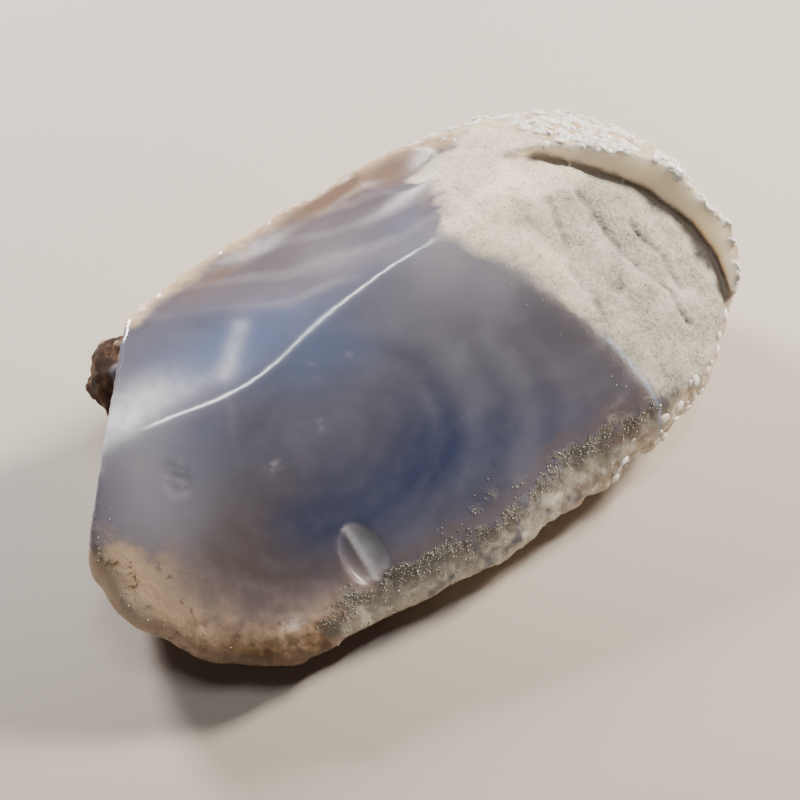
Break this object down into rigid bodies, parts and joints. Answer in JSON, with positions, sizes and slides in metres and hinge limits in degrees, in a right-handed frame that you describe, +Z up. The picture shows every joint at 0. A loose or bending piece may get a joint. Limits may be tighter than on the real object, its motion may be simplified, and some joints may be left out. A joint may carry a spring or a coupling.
{
  "type": "raw chalcedony stone",
  "caption": "Free-standing piece of raw chalcedony with a glassy broken face, a chalky shoulder and a cobbled rind at one end, resting on a small flat spot.",
  "frame": {"origin": "centre of the footprint of the bounding box, at the height of the flat spot that the stone rests on", "axes": "+X along the stone's long axis towards the end that kept its rind, +Y away from the large glassy face, +Z up"},
  "size_m": [0.0616, 0.0344, 0.0227],
  "materials": {
    "chalcedony": "glassy blue-grey on the broken faces, frosty cream on the shoulder, brown and cream skin"
  },
  "bodies": {
    "root": {"chalcedony": "chalcedony"}
  },
  "joints": []
}
